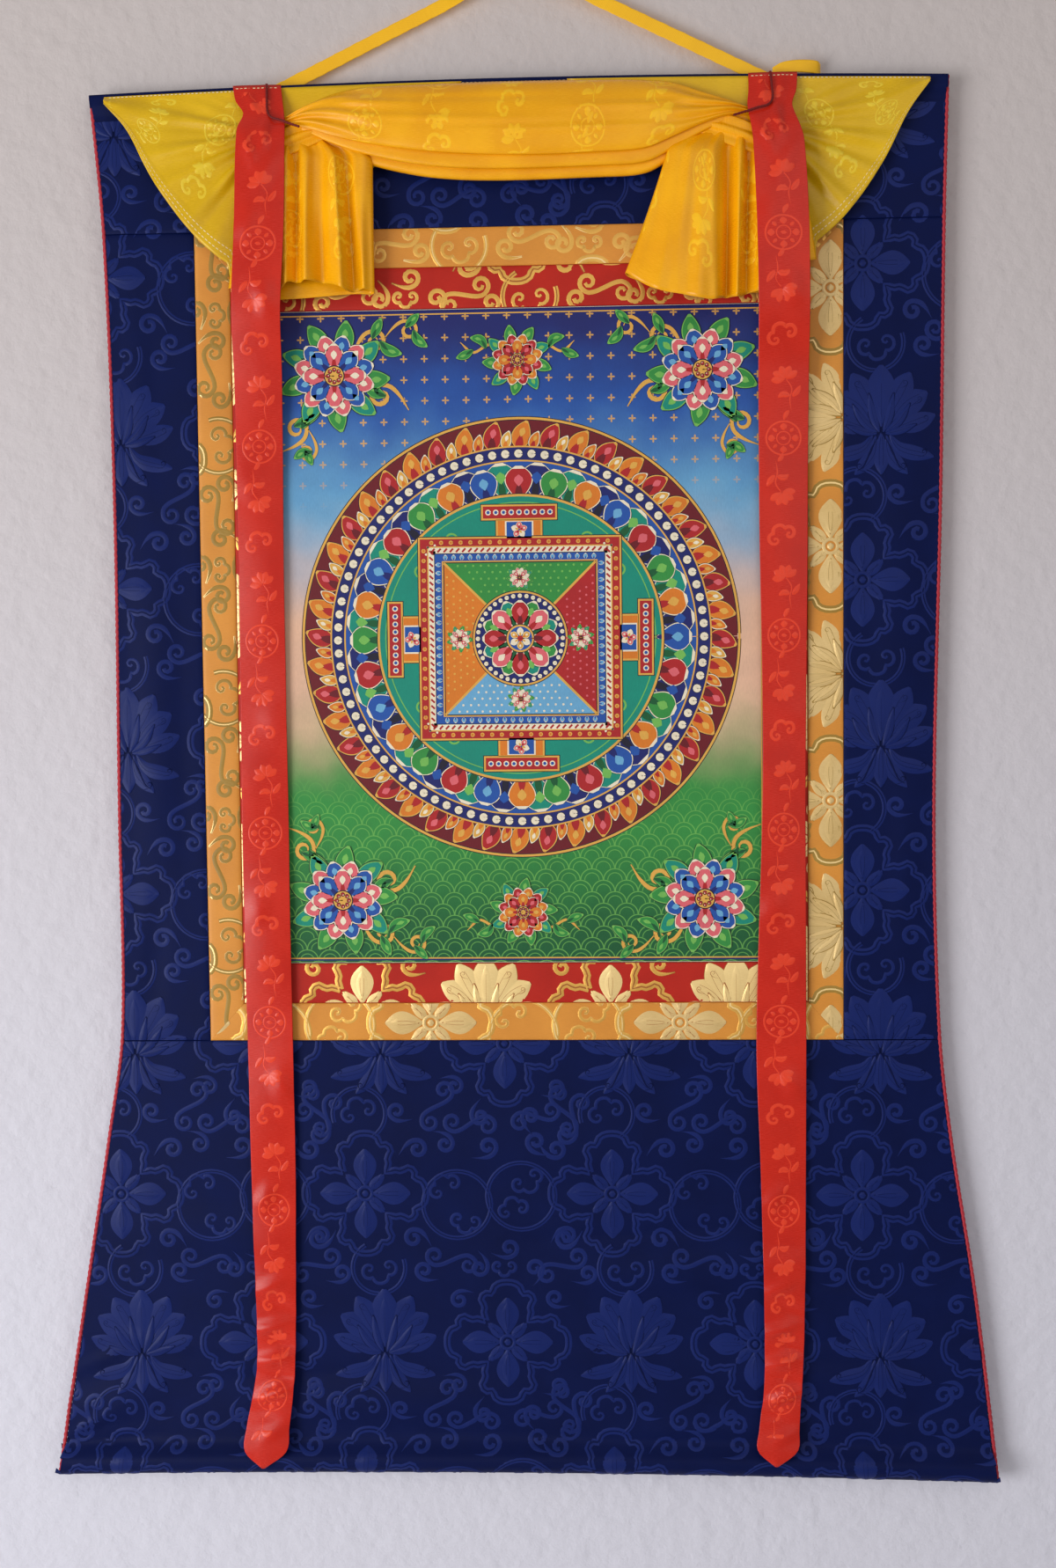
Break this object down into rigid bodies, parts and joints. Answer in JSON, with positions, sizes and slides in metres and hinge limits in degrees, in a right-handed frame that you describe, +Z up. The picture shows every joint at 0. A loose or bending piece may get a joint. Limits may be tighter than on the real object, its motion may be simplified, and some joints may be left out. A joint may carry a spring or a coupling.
{
  "type": "thangka scroll painting",
  "caption": "Hanging scroll with a painted canvas in brocade borders, a blue damask mount with a rolled foot, a tied-up silk veil, satin ribbons and a hanging strap.",
  "frame": {"origin": "top of the hanging strap, where it lies over a nail or hook", "axes": "+Z up, +X to the viewer's right, +Y towards the wall, so the painted front faces -Y"},
  "size_m": [0.7527, 0.0403, 1.1803],
  "materials": {
    "painted_canvas": "matt painted canvas",
    "red_brocade": "satin weave with metallic gold thread",
    "gold_brocade": "satin weave with metallic gold thread",
    "blue_damask": "silk damask with raised woven motifs",
    "yellow_silk": "glossy figured silk",
    "red_satin": "figured satin ribbon",
    "red_piping": "twisted cord",
    "dark_string": "thin cord"
  },
  "bodies": {
    "root": {"painting": "painted_canvas", "border_red_top": "red_brocade", "border_red_bottom": "red_brocade", "border_red_left": "red_brocade", "border_red_right": "red_brocade", "border_gold_top": "gold_brocade", "border_gold_bottom": "gold_brocade", "border_gold_left": "gold_brocade", "border_gold_right": "gold_brocade", "panel_top": "blue_damask", "panel_left": "blue_damask", "panel_right": "blue_damask", "panel_bottom": "blue_damask", "piping_left": "red_piping", "piping_right": "red_piping", "veil": "yellow_silk", "ribbon_left": "red_satin", "ribbon_right": "red_satin", "tie_left": "dark_string", "tie_right": "dark_string", "strap": "yellow_silk", "strap_tail": "yellow_silk"}
  },
  "joints": []
}
